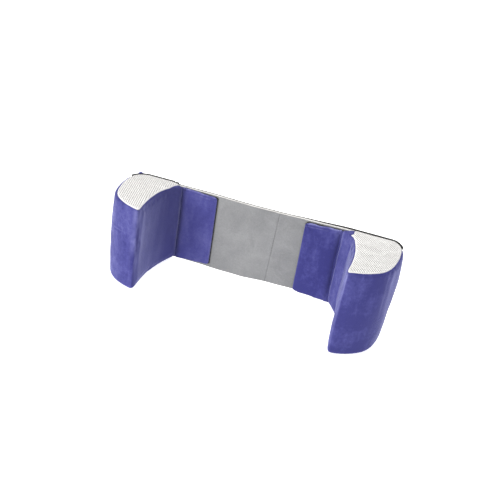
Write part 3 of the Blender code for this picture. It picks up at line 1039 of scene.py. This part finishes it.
def flatPiece(name, node, material, make):
    # fine panel on a node's own outline, with soft edges and a slight wave in its front; "lift" is how
    # far its top edge is raised at places along x, "trim" shortens its right end, and "line" adds the
    # stitched line's groove and the creases
    co = cornersOf(node)
    low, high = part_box(node)
    high.x -= make.get("trim", {}).get(node, 0.0)
    columns = np.unique(np.round(co[:, 0], 4))
    lows = np.array([co[np.abs(co[:, 0] - x) < 0.1 * mm, 2].min() for x in columns])
    highs = np.array([co[np.abs(co[:, 0] - x) < 0.1 * mm, 2].max() for x in columns])
    soft = min(make["round"], (high.y - low.y) / 2)
    rim = np.array([0.0, 0.12, 0.35, 0.7, 1.0]) * soft
    span = np.arange(low.x + 1.5 * soft, high.x - 1.5 * soft, make["step"])
    fine = []
    if "line" in make:
        fine = np.arange(make["line"][0] - 5 * mm, make["line"][1] + 5 * mm, 0.5 * mm)
    x = np.unique(np.concatenate([low.x + rim, high.x - rim, span, fine]))
    drift = make["wander"] * (np.sin(x * 47.0 + 1.0) + 0.6 * np.sin(x * 103.0))
    drift *= ease((x - low.x) / (12 * mm)) * ease((high.x - x) / (12 * mm))
    zLow = np.interp(x, columns, lows) + drift
    lift = np.interp(x, *make.get("lift", ((0, 1), (0, 0))))
    zHigh = np.interp(x, columns, highs) + 0.5 * drift + lift
    middle = np.linspace(0.0, 1.0, int((high.z - low.z) / make["step"]))
    edge = rim / (high.z - low.z)
    shares = np.unique(np.concatenate([edge, 1.0 - edge, middle]))
    z = zLow + (zHigh - zLow) * shares[:, None]
    gridX = x + z * 0.0
    depth = np.minimum.reduce([z - zLow, zHigh - z, gridX - low.x, high.x - gridX])
    past = 1.0 - np.clip(depth / soft, 0.0, 1.0)
    pull = soft * (1.0 - np.sqrt(1.0 - past**2))
    spots = np.stack([gridX.ravel(), np.zeros(z.size), z.ravel()], axis=1)
    quiet = ease(depth / (6 * mm))
    wave = ripple(spots, make["seed"], make["waveLength"]).reshape(z.shape) * make["wave"] * quiet
    if "line" in make:
        fromLine = gridX - np.interp(z, (low.z, high.z), make["line"])
        wave += (0.45 * near(fromLine, 1.3 * mm) - 0.25 * near(fromLine, 5.0 * mm)) * mm * quiet
        for start, end, width, size in faceCreases:
            start, way = np.array(start) * mm, np.subtract(end, start) * mm
            spot = np.stack([gridX - start[0], z - start[1]], axis=2)
            share = np.clip(spot @ way / (way @ way), 0.0, 1.0)
            away = np.linalg.norm(spot - share[:, :, None] * way, axis=2)
            wave += size * mm * near(away, width * mm) * np.sin(math.pi * share)**0.6 * quiet
    front = np.stack([gridX, low.y + pull + wave, z], axis=2)
    back = np.stack([gridX, high.y - pull + np.minimum(wave, 0.0) * 0.5, z], axis=2)
    piece = addPiece(name, meshFrom(name, *gridPanel(front, back)), material, [node])
    if "line" in make:
        sewn = near(fromLine, 0.9 * mm) * (0.75 + 0.25 * np.sin(z * 2 * math.pi / stitchMake["pitch"]))
        paint(piece, sewn=np.concatenate([sewn.ravel(), sewn.ravel() * 0.0]))
    return piece, (float(high.x - low.x), float((highs - lows).mean()))


def band(looks):
    print("band")
    slots = {"band_face": "loop_cloth", "band_core": "pale_foam", "band_back": "dark_cloth"}
    for node, slotName in slots.items():
        piece, size = flatPiece(f"{node}_cloth", node, looks[node], bandLayers[node])
    low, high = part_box("band_face")
    parts = []
    make = stitchMake
    for z in np.arange(low.z + make["above"], high.z - make["below"], make["pitch"]):
        ends = []
        for height in (z, z + make["long"]):
            x = np.interp(height, (low.z, high.z), bandLayers["band_face"]["line"])
            x += make["wander"] * math.sin(height * 900)
            ends.append((x, low.y + make["sunk"], height))
        parts.append(bar(*ends, make["radius"]))
    stitches = meshFrom("stitches", *joinParts(parts))
    addPiece("band_stitches", stitches, thread("bandThread"))


def hooks(side, material):
    node = f"flap_hook_{side}"
    piece, size = flatPiece(f"{node}_sheet", node, material, hookLayer)


# Closures: a tape with a row of teeth along its middle, and a slider

closureMake = {
    "tooth": (0.95 * mm, 0.9 * mm, 1.9 * mm),
    "pitch": 1.45 * mm,
    "toothOut": 0.55 * mm,
    "toothHeights": (0.50, 0.62),  # shares of the strip's height, in turn
    "tape": 1.2 * mm,
    "sunk": 0.1 * mm,
    "smooth": 6,
    "rise": {"left": 0.8 * mm, "right": 1.3 * mm},
}


def closureLine(node):
    # middle of a closure strip in plan, from the end nearest the part's middle, with its foot and top;
    # a corner and its partner across the strip are at one height and less than 2.4 mm apart
    co = cornersOf(node)
    rows = {}
    for i, place in enumerate(co):
        gap = np.hypot(*(co[:, :2] - place[:2]).T)
        gap[np.abs(co[:, 2] - place[2]) > 0.4 * mm] = 1.0
        gap[i] = 1.0
        if gap.min() < 2.4 * mm:
            middle = (place + co[np.argmin(gap)]) / 2
            rows[tuple(np.round(middle[:2] / (0.4 * mm)).astype(int))] = middle
    middles = np.array(list(rows.values()))
    order = [int(np.argmin(np.abs(middles[:, 0])))]
    left = set(range(len(middles))) - set(order)
    while left:
        here = middles[order[-1]]
        order.append(min(left, key=lambda i: math.hypot(*(middles[i, :2] - here[:2]))))
        left.remove(order[-1])
    line = middles[order]
    beside = [co[np.hypot(*(co[:, :2] - place[:2]).T) < 1.6 * mm, 2] for place in line]
    return line, np.array([some.min() for some in beside]), np.array([some.max() for some in beside])


def closure(side, tapeLook, toothLook):
    print("closure", side)
    make = closureMake
    node = f"zip_{side}"
    line, foot, top = closureLine(node)
    lengths = np.concatenate([[0.0], np.cumsum(np.hypot(*np.diff(line[:, :2], axis=0).T))])
    marks = np.arange(0.0, lengths[-1], make["pitch"])
    plan = np.stack([np.interp(marks, lengths, line[:, axis]) for axis in (0, 1)], axis=1)
    foot, top = np.interp(marks, lengths, foot), np.interp(marks, lengths, top)
    for _ in range(make["smooth"]):
        plan[1:-1] = 0.5 * plan[1:-1] + 0.25 * (plan[:-2] + plan[2:])
    along = np.gradient(plan, axis=0)
    along /= np.linalg.norm(along, axis=1)[:, None]
    # the teeth face away from the bolster's middle
    facing = np.stack([along[:, 1], -along[:, 0]], axis=1)
    facing *= np.sign(np.sum(facing * (plan - np.array((outward[side] * 0.2, 0.0))), axis=1))[:, None]
    top += make["rise"][side]
    shares = np.array([0.0, 0.08, 0.3, 0.5, 0.7, 0.92, 1.0])[:, None]
    bulge = np.array([0.0, 0.35, 0.4, 0.55, 0.4, 0.35, 0.0])[:, None, None] * mm
    z = foot + (top - foot) * shares
    sheets = []
    for push in (bulge, bulge * 0.0 - make["tape"]):
        sheets.append(np.concatenate([plan + (push - make["sunk"]) * facing, z[:, :, None]], axis=2))
    piece = addPiece(f"{node}_tape", meshFrom("tape", *gridPanel(*sheets)), tapeLook, [node])
    parts = []
    for step in range(1, len(plan) - 1):
        height = foot[step] + (top[step] - foot[step]) * make["toothHeights"][step % 2]
        spot = plan[step] + facing[step] * make["toothOut"]
        parts.append(block((*spot, height), (*along[step], 0.0), make["tooth"]))
    addPiece(f"{node}_teeth", meshFrom("teeth", *joinParts(parts)), toothLook)


sliderMake = {
    # offset and extent in mm; the body is as long as its solid
    "body": ((0.0, -0.5, -0.4), (None, 1.6, 4.0)),
    "bridge": ((0.4, 0.6, 0.1), (4.6, 1.2, 1.7)),
    "pullTab": ((-3.2, 0.9, -0.8), (4.4, 0.9, 2.6)),
}


def slider(material):
    print("slider")
    low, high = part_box("zip_slider_left")
    centre, length = (low + high) / 2, (high.x - low.x) / mm
    shape = bmesh.new()
    for offset, extent in sliderMake.values():
        extent = Vector((extent[0] or length, *extent[1:]))
        made = bmesh.ops.create_cube(shape, size=1.0)["verts"]
        bmesh.ops.scale(shape, vec=extent * mm, verts=made)
        bmesh.ops.translate(shape, vec=centre + Vector(offset) * mm, verts=made)
        edges = {edge for vert in made for edge in vert.link_edges}
        bmesh.ops.bevel(shape, geom=list(edges), offset=0.4 * mm, segments=3, profile=0.6, affect="EDGES")
    mesh = meshOf("slider", shape)
    addPiece("zip_slider_left_body", mesh, material, ["zip_slider_left"])


def main():
    makeCamera()
    makeLights()
    makeFloor()
    velourFinish = velour()
    hookFinish = hookSheet()
    tapeFinish = wovenDark("closureTape")
    toothFinish = thread("teeth")
    band({"band_face": loopCloth(), "band_core": wadding(), "band_back": wovenDark("darkCloth")})
    sleeve(velourFinish)
    for side in outward:
        outline = upperOutline(f"top_mesh_{side}")
        bolster(side, velourFinish, outline)
        topMesh(side, outline, spacerMesh(side))
        flap(side, velourFinish)
        groove(side, velourFinish)
        hooks(side, hookFinish)
        closure(side, tapeFinish, toothFinish)
    slider(sliderPlastic())


main()
print("finished")
